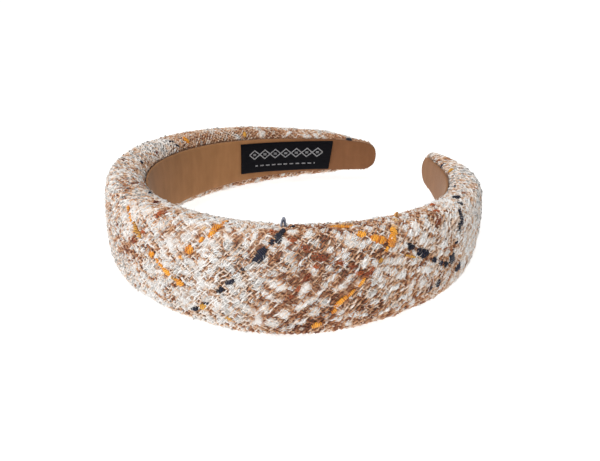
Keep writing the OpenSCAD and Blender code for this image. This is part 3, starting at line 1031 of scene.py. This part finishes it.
boucle_look = yarn_material("white_boucle", 0.8, 0.3, boucle_shades, 0.12, 1600.0, 0.5)
order = np.argsort(tuft_spot[:, 0])
large, small, fine = (order[tuft_kind[order] == kind] for kind in range(3))
groups = [*np.array_split(large, 3), small, fine]
names = ("boucle_left", "boucle_middle", "boucle_right", "boucle_small", "boucle_fine")
for number, (name, chosen) in enumerate(zip(names, groups)):
    piece = tangles(
        name,
        tuft_spot[chosen],
        tuft_half_length[chosen],
        tuft_half_width[chosen],
        tuft_lean[chosen],
        samples_of_kind[max(0, number - 2)],
        strand_radius,
        strand_low,
        strand_high,
        90 + number,
    )
    piece.data.materials.append(boucle_look)


# Snarls
# Where the tan and cream yarns are overspun they curl up into small snarls, which lie
# scattered between the tufts.
snarl_seed = np.random.default_rng(55)


def strewn(chance, count, end_margin, half_girth):
    """Spots at random on the cloth, up to a margin from the tips and a girth each way."""
    length = chance.uniform(-1, 1, count) * (reach_length - end_margin)
    return np.stack([length, chance.uniform(-half_girth, half_girth, count)], -1)


snarl_spot = strewn(snarl_seed, 2600, 4, 36)
clear = (to_lining(*snarl_spot.T) < 0.96) & (read_map(tuft_map, *snarl_spot.T) < 0.6)
snarl_spot = snarl_spot[clear][:520]
snarl_count = len(snarl_spot)
snarl_long = snarl_seed.uniform(0.8, 1.5, snarl_count)
snarl_wide = snarl_seed.uniform(0.6, 1.0, snarl_count)
snarl_lean = np.where(snarl_seed.uniform(0, 1, snarl_count) < 0.5, warp_lean, weft_lean)
snarls = tangles(
    "tan_snarls", snarl_spot, snarl_long, snarl_wide, snarl_lean, 20, 0.2, -0.5, 0.12, 56
)
snarls.data.materials.append(yarn_look)


# Coloured floats
# Short lengths of thick orange, mustard, pale, navy and rust yarn that show where the
# pattern's lines cross the surface. Each is wound loosely on itself, so it looks ribbed.
# Charted as: x and y in the frame, length and width in millimetres, and lean in degrees
orange_chart = [
    (127.2, 208.5, 1.8, 1.0, -70), (130, 218.5, 2.6, 0.9, -65), (151, 255.6, 1.8, 1.9, 0),
    (158.5, 265, 4.6, 1.1, -45), (164.5, 273.5, 2.8, 1.8, -45), (177.6, 284.7, 2.4, 2.2, -45),
    (188.3, 251, 2.4, 2.4, 0), (180, 258.7, 1.3, 1.0, 0), (202, 238.3, 1.8, 1.3, 40),
    (210.5, 233, 2.8, 1.8, 45), (218, 225.5, 3.6, 1.9, 42), (226.5, 221.7, 1.6, 1.0, 30),
    (341, 225.8, 6.6, 1.3, -10), (361.3, 232.4, 2.4, 1.9, -20), (374.5, 237.2, 2.2, 1.7, -20),
    (381.5, 239.8, 3.0, 2.2, -20),
    (396.2, 232.5, 2.6, 2.3, 70), (393.2, 240.5, 3.2, 2.6, 60), (388.4, 250.2, 1.4, 1.0, 50),
    (363.6, 282.8, 2.8, 1.2, 50), (351.3, 293, 2.4, 1.2, 42), (347.0, 298.2, 1.8, 1.5, 42),
    (343.6, 301.6, 1.4, 1.8, 42), (337.8, 304.8, 2.6, 1.5, 42), (333.7, 311.1, 1.8, 1.4, 42),
    (187.8, 138.6, 3.4, 2.2, 80), (248, 178.4, 2.6, 1.2, 0), (317.1, 325.2, 2.8, 2.0, 20),
]
mustard_chart = [
    (138.0, 235, 2.2, 1.4, -60), (134, 227, 3.2, 1.5, -65), (204, 308.7, 2.2, 2.0, 0),
    (226, 319.2, 1.8, 1.0, -20), (380.4, 260.9, 1.6, 1.1, 40), (412, 256.8, 3.6, 0.7, -22),
    (244.9, 134.2, 2.6, 1.7, 60), (450.4, 169.3, 2.6, 1.6, 20), (172, 279.8, 1.2, 0.9, -45),
]
pale_chart = [
    (396.0, 219.5, 1.2, 1.7, 80), (395.6, 225.4, 1.2, 1.7, 80), (345, 223.2, 5.0, 0.7, -8),
    (203.5, 229, 1.6, 0.8, 40), (180, 259, 1.6, 0.8, 0),
]
navy_chart = [
    (278.3, 235.6, 3.0, 2.0, 60), (283.4, 229.8, 2.2, 1.6, 60), (273.2, 241.5, 1.3, 1.1, 45),
    (259.5, 256, 4.4, 2.4, 58), (252.4, 261, 1.4, 0.8, 30), (242.4, 270.6, 1.4, 0.8, 45),
    (227.6, 282.1, 2.6, 1.5, 20), (219.4, 291.3, 2.4, 1.3, 40), (204, 304.6, 1.2, 0.8, 0),
    (194.9, 308.7, 2.0, 1.5, 20), (411.6, 247.4, 2.6, 1.8, -35), (422.8, 254.2, 5.0, 2.6, -30),
    (433.9, 259.6, 2.2, 1.6, -30), (441.0, 263.0, 2.2, 1.5, -30), (446.8, 265.0, 2.2, 1.6, -30),
    (453.4, 259.3, 3.4, 3.2, 75), (459.6, 267.1, 2.6, 2.6, 30), (457.1, 196.4, 2.8, 2.4, -30),
    (460.7, 202, 1.8, 1.2, -60), (463.8, 217.5, 4.8, 1.9, 85), (461.8, 227.5, 2.6, 1.2, 80),
    (458, 242.3, 1.3, 1.0, 0), (438.4, 283.2, 2.0, 2.0, 0), (430.4, 290.6, 2.2, 1.2, 45),
    (291, 224.9, 1.2, 1.0, 0), (150, 192.5, 1.8, 0.9, -30), (178.1, 144.2, 2.2, 1.2, -45),
    (170.4, 139.6, 2.4, 0.9, -20), (141.8, 160.6, 1.8, 1.0, -30), (350.1, 138.4, 2.8, 1.8, 20),
    (440.9, 164.9, 2.4, 1.2, 50), (455.2, 184.8, 2.8, 0.8, 0), (204.5, 304.4, 1.2, 0.7, 0),
]
rust_chart = [
    (140.8, 231.9, 1.8, 1.6, 30), (133.5, 240.4, 2.2, 1.5, -20), (155.1, 201.6, 2.8, 2.2, 0),
    (158.4, 214.6, 3.2, 2.2, 30), (165.3, 210.7, 3.0, 1.8, 30), (293.9, 240.9, 2.8, 1.8, 30),
    (271.5, 228.6, 2.6, 1.6, -20), (305.5, 248.9, 2.6, 1.9, -30), (317.1, 255.8, 3.2, 2.0, -30),
    (325.4, 259.1, 2.8, 2.0, -20), (318, 268.9, 2.2, 1.6, 30), (304.7, 281.3, 2.6, 1.4, 20),
    (297.2, 290.4, 2.2, 1.3, 40), (341.5, 265, 3.0, 1.4, -10), (352.8, 266.6, 2.4, 1.2, 20),
    (361, 273.5, 2.6, 1.1, -10), (368.3, 275, 2.8, 1.6, 10), (372.3, 270.9, 2.0, 1.3, 45),
    (431.3, 203.4, 2.6, 1.5, 10), (436.6, 209.3, 2.0, 1.6, 0), (440.2, 219, 3.4, 2.4, 60),
    (158.2, 150.6, 2.4, 1.6, 20), (310.5, 276.3, 1.6, 1.0, 0), (289.8, 297, 1.8, 0.9, 20),
]


line_seed = np.random.default_rng(88)
rest_step = 5.5
# Samples to a millimetre of float, turns to a millimetre, and the strand's radius
float_samples, float_turns, float_radius = 17, 1.7, 0.27


def on_the_rest(bases, lean, kept):
    """Rows of a chart for the cloth that the camera doesn't see: spots on the cloth at
    even steps along lines through the given lengths, with sizes and lean. A share is
    kept."""
    step = np.arange(-7, 8)[None, :] * rest_step
    length = np.array(bases)[:, None] + step * np.cos(lean)
    girth = step * np.sin(lean) + 0 * length
    length, girth = (v.ravel() + line_seed.uniform(-1.2, 1.2, v.size) for v in (length, girth))
    unseen = seen_in_front(length, girth)[0] < -0.25
    keep = unseen & (to_lining(length, girth) < 0.93) & (np.abs(length) < reach_length - 6)
    keep = keep & (line_seed.uniform(0, 1, length.size) < kept)
    size = line_seed.uniform(1.3, 3.6, length.size)
    width = line_seed.uniform(1.0, 2.0, length.size)
    turn = np.degrees(lean) + line_seed.uniform(-12, 12, length.size)
    return np.stack([length, girth, size, width, turn], -1)[keep]


def whole_chart(chart, rest):
    """The charted spots, put on the cloth, and those on the rest of it."""
    chart = np.array(chart, float)
    chart[:, :2] = charted(chart[:, :2])
    return np.concatenate([chart, rest])


def floats(name, chart, seed):
    """Wound lengths of yarn: a coil along each float's direction, wider than it is high,
    which tapers to its ends and is held down where ground yarns cross it."""
    chance = np.random.default_rng(seed)
    half, wide, lean = chart[:, 2:3] * 0.6, chart[:, 3:4] * 0.64, np.radians(chart[:, 4:5])
    number = np.arange(len(chart))[:, None]
    samples = int(float_samples * (chart[:, 2].max() * 1.36 + 1))
    u = -half + (np.arange(samples) / float_samples)[None, :]
    keep = u < half + 0.05
    turn = 2 * np.pi * u * float_turns + chance.uniform(0, 6.3, (len(chart), 1))
    rough = 1 + 0.25 * soft_noise(u, number * 9.7, 0.7, seed)
    taper = np.sqrt(np.clip(1.15 - (u / half) ** 2, 0.1, 1))
    across = (wide - 0.2) * rough * taper * np.cos(turn)
    length, girth = turned(chart[:, :2], u + 0.3 * across, across, lean)
    height = -0.08 + 0.5 * taper * np.minimum(1, wide) * np.sin(turn)
    height = height + 0.45 * read_map(tuft_map, length, girth)
    height = height + (-0.5 - height) * 0.75 * held_down(length, girth)
    centre, normal = on_cloth(length, girth, height)
    thick = float_radius + 0.03 * np.sin(turn * 0.3)
    tone = chance.uniform(0.3, 0.7, (len(chart), 1)) + 0.15 * np.sin(turn * 0.21)
    # Painted shade: each turn of the coil is made lighter where it rises and darker where it dips
    tone = tone + 0.25 * np.sin(turn) + 0.15 * soft_noise(u, number * 5.3, 0.5, seed)
    return yarn(name, centre, normal, thick, keep, np.clip(tone, 0, 1), sides=4)


rest_of_lines = {
    "orange_floats": on_the_rest([-218, -172, -128, 118, 160, 204], weft_lean, 0.6),
    "mustard_floats": on_the_rest([-150, -20, 138], weft_lean, 0.35),
    "pale_floats": on_the_rest([-60, 60], weft_lean, 0.3),
    "navy_floats": on_the_rest([-205, -160, -60, 40, 128, 176], warp_lean, 0.6),
    "rust_slubs": on_the_rest([-190, -140, -80, 20, 90, 148, 190], warp_lean, 0.6),
}
for name, chart, dark, light, seed in (
    ("orange_floats", orange_chart, colour(200, 94, 12), colour(255, 184, 60), 201),
    ("mustard_floats", mustard_chart, colour(176, 116, 24), colour(226, 170, 70), 202),
    ("pale_floats", pale_chart, colour(206, 150, 96), colour(240, 204, 156), 205),
    ("navy_floats", navy_chart, colour(4, 5, 9), colour(22, 26, 52), 203),
    ("rust_slubs", rust_chart, colour(112, 46, 18), colour(202, 108, 58), 204),
):
    chart = whole_chart(chart, rest_of_lines[name])
    if name == "rust_slubs":
        # Rust yarn is thin and lies in the ground, in loose bunches
        long, wide, lean = chart[:, 2] * 0.66, chart[:, 3] * 0.62, np.radians(chart[:, 4])
        piece = tangles(name, chart[:, :2], long, wide, lean, 36, 0.25, -0.3, 0.42, seed)
    else:
        piece = floats(name, chart, seed)
    stops = [(0.0, dark), (1.0, light)]
    piece.data.materials.append(
        yarn_material(name + "_yarn", 0.6, 0.2, stops, 0.35, 1400.0, 0.4)
    )


# Standing loops
# A navy and an orange loop stand up at the upper edge where a float was caught, and a
# tan and a white loop bulge out at the left end of the front, each of several strands.
loop_strands, loop_radius, loop_foot = 7, 0.19, -0.4


def arches(name, chart, strands, seed):
    """Nested arches over charted spots. A strand crosses its width with the cosine of
    its turn and rises with the sine, and sways a little across that."""
    chance = np.random.default_rng(seed)
    spots = np.repeat(charted([row[:2] for row in chart]), strands, 0)
    sizes = np.repeat(np.array(chart, float)[:, 2:], strands, 0)
    width, rise, lean = sizes[..., None].transpose(1, 0, 2)
    count = len(spots)
    turn = np.linspace(0, np.pi, 17)[None, :]
    nest = chance.uniform(0.5, 1, (count, 1))
    lean = np.radians(lean) + chance.uniform(-0.35, 0.35, (count, 1))
    swing = np.cos(turn) * width / 2 * nest * (0.75 + 0.35 * np.sin(turn))
    sway = chance.uniform(-0.45, 0.45, (count, 1))
    sway = sway + 0.12 * np.sin(3 * turn + chance.uniform(0, 6, (count, 1)))
    length, girth = turned(spots, swing, sway, lean)
    height = loop_foot + (rise - loop_foot) * nest * np.sin(turn) ** 0.8
    centre, _ = on_cloth(length, girth, height)
    aside, _ = on_cloth(length - np.sin(lean), girth + np.cos(lean), 0 * length)
    foot, _ = on_cloth(length, girth, 0 * length)
    thick = loop_radius + 0.04 * np.sin(2 * turn + chance.uniform(0, 6, (count, 1)))
    tone = chance.uniform(0, 1, (count, 1)) + 0 * turn
    return yarn(name, centre, aside - foot, thick, tone >= 0, tone, sides=5)


# Charted as: x and y in the frame, width and height in millimetres, and lean in degrees
tan_chart = [(109.5, 205.5, 3.4, 2.0, 90), (110, 210, 2.2, 1.5, 60)]
for name, chart, dark, light, seed in (
    ("navy_loop", [(283.6, 225.2, 2.4, 3.0, 0)], (60, 66, 90), (150, 155, 170), 301),
    ("orange_loop", [(396.4, 216.4, 1.7, 1.5, 0)], (206, 140, 70), (240, 190, 120), 302),
    ("tan_loop", tan_chart, (186, 144, 116), (236, 210, 188), 303),
    ("white_loop", [(111.5, 190, 2.6, 1.1, 80)], (200, 196, 190), (244, 242, 238), 304),
):
    piece = arches(name, chart, loop_strands, seed)
    stops = [(0.0, colour(*dark)), (1.0, colour(*light))]
    piece.data.materials.append(
        yarn_material(name + "_yarn", 0.7, 0.2, stops, 0.3, 1400.0, 0.4)
    )


# Loose fibres
# Fine ends of the white and cream yarns that have worked out of the cloth, and stand or
# lie over it in shallow arcs.
fibre_seed = np.random.default_rng(77)
fibre_count, fibre_radius = 900, 0.055
fibre_spot = strewn(fibre_seed, 2 * fibre_count, 6, 38)
fibre_spot = fibre_spot[to_lining(*fibre_spot.T) < 0.9][:fibre_count]
fibre_count = len(fibre_spot)
way = fibre_seed.uniform(0, np.pi, (fibre_count, 1))
reach = fibre_seed.uniform(0.9, 2.2, (fibre_count, 1))
step = np.linspace(-1, 1, 7)[None, :]
bend = fibre_seed.uniform(-0.6, 0.6, (fibre_count, 1)) * (step**2 - 0.5)
length, girth = turned(fibre_spot, reach * step, bend, way)
lift = 0.1 + fibre_seed.uniform(0.1, 0.5, (fibre_count, 1)) * (1 - step**2)
lift = lift + 0.5 * read_map(tuft_map, length, girth)
centre, normal = on_cloth(length, girth, lift)
tone = fibre_seed.uniform(0.4, 1, (fibre_count, 1)) + 0 * step
thin = fibre_radius * (1.1 - step**4) + 0 * length
clear = to_lining(length, girth) < 0.97
fibres = yarn("loose_fibres", centre, normal, thin, clear, tone)
fibres.data.materials.append(boucle_look)


# Lining
# A strip of matt suede-like ribbon with faint ribs across it, glued along the head side
# from tip to tip over the cloth's raw edges.
lining_columns = np.array([-1, -0.985, -0.96, *np.linspace(-0.93, 0.93, 15), 0.96, 0.985, 1])
lining_leg = np.linspace(0, straight_end, 161)[1:]
lining_turn = np.sin(np.linspace(0, np.pi / 2, 13)[1:])
left_end, right_end = (straight_end + (tip_radius - end_gap(s)) * lining_turn for s in (-1, 1))
lining_s = np.concatenate([-left_end[::-1], -lining_leg[::-1], [0.0], lining_leg, right_end])
lining_s = lining_s[:, None]
# Where a strip's face begins to round off, and the thickness that is left at its edge
rim_from, rim_thickness = 0.92, 0.45


def strip(s, z, share, back, thickness):
    """A strip's closed rings: down its back and up its face, the face's edges rounded
    off by a quarter of an oval."""
    rim = np.clip((np.abs(share) - rim_from) / (1 - rim_from), 0, 1)[None, :]
    face = thickness * (rim_thickness + (1 - rim_thickness) * np.sqrt(1 - rim**2))
    depth, z = back(s, z), z * corner_trim(s, z)
    lower_skin = band_point(s, depth, z)
    upper_skin = band_point(s, depth - face, z)
    return np.concatenate([lower_skin[:, ::-1], upper_skin], 1)


def closed_strip(name, rings):
    """A skin over the rings, with both ends closed like a ladder."""
    count = rings.shape[1]
    index = np.arange(rings.shape[0] * count).reshape(-1, count)
    ahead = np.roll(index, -1, 1)
    sides = np.stack([index[:-1], index[1:], ahead[1:], ahead[:-1]], -1).reshape(-1, 4)
    rung = np.arange(count // 2 - 1)
    ladder = np.stack([rung, rung + 1, count - 2 - rung, count - 1 - rung], -1)
    far = index[-1][ladder][:, ::-1]
    return cloth_mesh(name, rings.reshape(-1, 3), [sides, ladder, far])


def map_strip(piece, s, z):
    """The piece's own map: the place along the band and across it, in decimetres."""
    spots = np.stack([s, z], -1)
    spots = np.concatenate([spots[:, ::-1], spots], 1).reshape(-1, 2) / 100
    corners = np.empty(len(piece.data.loops), np.int32)
    piece.data.loops.foreach_get("vertex_index", corners)
    give_uv(piece, spots[corners])


def lining_back(s, z):
    """Depth of the lining's back, which leaves a gap for the glue."""
    return inner_depth(s, z) - layer_gap


lining_z = lining_half_width(lining_s) * lining_columns
lining_s = lining_s + 0 * lining_z
lining_rings = strip(lining_s, lining_z, lining_columns, lining_back, lining_thickness)
lining = closed_strip("suede_lining", lining_rings)
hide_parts("lining")
map_strip(lining, lining_s, lining_z)
# Painted shade: the lining is made darker towards both tips, fully at the left one and at about
# half strength at the right
tip_shade_amount = np.clip((np.abs(lining_s) - 105) / 50, 0, 1)
tip_shade_amount = tip_shade_amount * np.where(lining_s < 0, 1.0, 0.55)
give_values(lining, "shaded_tips", np.concatenate([tip_shade_amount, tip_shade_amount], 1))

suede_look, tree, shader = cloth_material("suede_ribbon", 0.95, 0.12)
uv = add(tree, "ShaderNodeUVMap", uv_map="cloth_map").outputs[0]
# The nap lies across the band in soft, faint streaks
way = add(tree, "ShaderNodeMapping", [("Vector", uv)], Scale=(26.0, 5.0, 1.0)).outputs[0]
streaks = add(tree, "ShaderNodeTexNoise", [("Vector", way)], Scale=1.0, Detail=3.0)
# The first ramp is the suede's own colour, the second the painted shade of the tips
unshaded_suede, shaded_tips = (
    ramp(tree, streaks.outputs[0], [(0.3, colour(*dark)), (0.7, colour(*light))])
    for dark, light in (((155, 109, 68), (169, 120, 76)), ((120, 78, 48), (132, 88, 56)))
)
tip_shade_share = add(tree, "ShaderNodeAttribute", attribute_name="shaded_tips").outputs["Fac"]
links = [("Factor", tip_shade_share), ("A", unshaded_suede), ("B", shaded_tips)]
shade = add(tree, "ShaderNodeMix", links, data_type="RGBA")
dress(tree, shader, shade.outputs["Result"], 0.15, 2200.0, 0.3)
lining.data.materials.append(suede_look)


# Label
# A small rectangle of black satin weave on the lining of the left leg, to which the real one
# is stitched with its ends folded under; the strip leaves out the folds. The pattern woven
# into it in grey thread is a plain ornament.
label_start, label_length, label_half, label_thickness = -165.0, 49.0, 7.87, 0.4
# How far the label climbs, and shifts towards the crown, over its length
label_climb = 1.2
label_columns = np.linspace(-1, 1, 33)
label_share = np.linspace(0, 1, 99)[:, None]


def label_place(share, level):
    """Place along the band and height across it of a spot on the label, from its share of
    the length, 0 at the tip end, and its level, -1 to 1. It was sewn on a little askew:
    it climbs towards the crown, and its tip end slants."""
    s = label_start + label_length * share - (1 - share) * level + label_climb * share
    return s, label_half * level + label_climb * share**2


def label_back(s, z):
    """Depth of the label's back, over the lining's face."""
    return inner_depth(s, z) - 2 * layer_gap - lining_thickness


label_s, label_z = label_place(label_share, label_columns)
label_rings = strip(label_s, label_z, label_columns, label_back, label_thickness)
label = closed_strip("woven_label", label_rings)
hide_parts("label")
map_strip(label, label_s, label_z)
satin_look, tree, shader = cloth_material("black_satin", 0.5, 0.0)
shader.inputs["Specular IOR Level"].default_value = 0.06
uv = add(tree, "ShaderNodeUVMap", uv_map="cloth_map").outputs[0]
# Fine satin ribs run along the label, with slow shifts of shade between them
way = add(tree, "ShaderNodeMapping", [("Vector", uv)], Scale=(30.0, 420.0, 1.0)).outputs[0]
ribs = add(tree, "ShaderNodeTexNoise", [("Vector", way)], Scale=1.0, Detail=2.0)
shades = ramp(tree, ribs.outputs[0], [(0.3, colour(4, 4, 7)), (0.7, colour(20, 20, 25))])
dress(tree, shader, shades, 0.4, 1500.0, 0.3)
label.data.materials.append(satin_look)


def on_label(along, across, height):
    """The point at a height over the label's face, along it from its tip end and across
    it from its middle, and the direction that faces away from it towards the head."""
    s, z = label_place(along / label_length, across / label_half)
    depth, z = label_back(s, z) - label_thickness, z * corner_trim(s, z)
    point = band_point(s, depth - height, z)
    return point, band_point(s, depth - height - 1, z) - point


# Label ornament
# Grey thread woven into the label: a chain of plain lozenges, each with three short
# stitches in its middle, and a broken line under it.
chain_start, chain_end, chain_z = 4.6, 44.4, 1.9
lozenges, lozenge_length, lozenge_height = 7, 5.686, 2.3
stitch_reach, stitch_rows = 0.8, np.array([-0.4, 0.0, 0.4])
dash_start, dash_end, dash_z, dash_pitch, dash_share = 8.0, 41.0, -4.1, 3.3, 0.66
thread_radius = 0.15
# Each line is two threads side by side
pair = np.array([-0.17, 0.17])[:, None]
chain_s = np.linspace(chain_start, chain_end, 240)[None, :]
peak = 1 - np.abs(((chain_s - chain_start) / lozenge_length) % 1 * 2 - 1)
chain_rows = np.concatenate([peak * lozenge_height + pair, -peak * lozenge_height + pair])
middle_s = chain_start + lozenge_length * (np.arange(lozenges) + 0.5)
stitch_s = np.repeat(middle_s, 3)[:, None] + np.linspace(-stitch_reach, stitch_reach, 8)[None, :]
stitch_z = np.tile(chain_z + stitch_rows, lozenges)[:, None] + 0 * stitch_s
dash_s = np.linspace(dash_start, dash_end, 200)[None, :] + 0 * pair
greys = [(0.0, colour(120, 120, 124)), (1.0, colour(178, 178, 180))]
thread_look = yarn_material("grey_thread", 0.5, 0.1, greys, 0.3, 1600.0, 0.3)
for name, s, z, gaps in (
    ("ornament_chain", chain_s + 0 * chain_rows, chain_z + chain_rows, False),
    ("ornament_stitches", stitch_s, stitch_z, False),
    ("ornament_dashes", dash_s, dash_z + pair + 0 * dash_s, True),
):
    height = 0.03 + 0.05 * np.sin(s * 9.0)
    point, normal = on_label(s, z, height)
    keep = (s / dash_pitch % 1 < dash_share) if gaps else s > 0
    tone = 0.5 + 0.5 * np.sin(s * 9.0 + 1)
    thick = thread_radius + 0 * s
    piece = yarn(name, point, normal, thick, keep, tone, sides=4)
    piece.data.materials.append(thread_look)


# Stage
# A plain white table, a pale surround that is brightest in front and dark behind, and one
# large soft lamp above the front. The band stands on its lowest tufts.
table_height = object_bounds()[0][2] + 0.0003
bpy.ops.mesh.primitive_plane_add(size=8, location=(0, 0, table_height))
table = bpy.context.object
table.name = "table"
table_look = bpy.data.materials.new("white_table")
table_look.use_nodes = True
shader = table_look.node_tree.nodes["Principled BSDF"]
shader.inputs["Base Color"].default_value = (0.55, 0.55, 0.55, 1)
shader.inputs["Roughness"].default_value = 0.9
shader.inputs["Emission Color"].default_value = (1.0, 0.995, 0.985, 1)
shader.inputs["Emission Strength"].default_value = 0.81
table.data.materials.append(table_look)

world = bpy.data.worlds.new("studio")
bpy.context.scene.world = world
world.use_nodes = True
sky = world.node_tree
around = add(sky, "ShaderNodeTexCoord").outputs["Generated"]
facing = add(sky, "ShaderNodeVectorMath", [(0, around)], operation="DOT_PRODUCT")
facing.inputs[1].default_value = (0, -0.86, 0.5)
dimming = add(sky, "ShaderNodeMapRange", [("Value", facing.outputs["Value"])])
dimming.inputs["To Max"].default_value = 1.2
sky.nodes["Background"].inputs["Color"].default_value = (1, 0.995, 0.985, 1)
# The surround itself shows plain white wherever it is seen
direct = add(sky, "ShaderNodeLightPath").outputs["Is Camera Ray"]
strength = add(sky, "ShaderNodeMath", [(0, direct), (1, dimming.outputs[0])], operation="MAXIMUM")
sky.links.new(strength.outputs[0], sky.nodes["Background"].inputs["Strength"])

lamp_data = bpy.data.lights.new("soft_lamp", "AREA")
lamp_data.size = 0.5
lamp_data.energy = 2.8
lamp = bpy.data.objects.new("soft_lamp", lamp_data)
bpy.context.scene.collection.objects.link(lamp)
lamp.location = (0.0, -0.3, 0.72)
lamp.rotation_mode = "QUATERNION"
lamp.rotation_quaternion = (Vector((0, -0.03, 0.02)) - lamp.location).to_track_quat("-Z", "Y")

bpy.context.scene.view_settings.view_transform = "Standard"
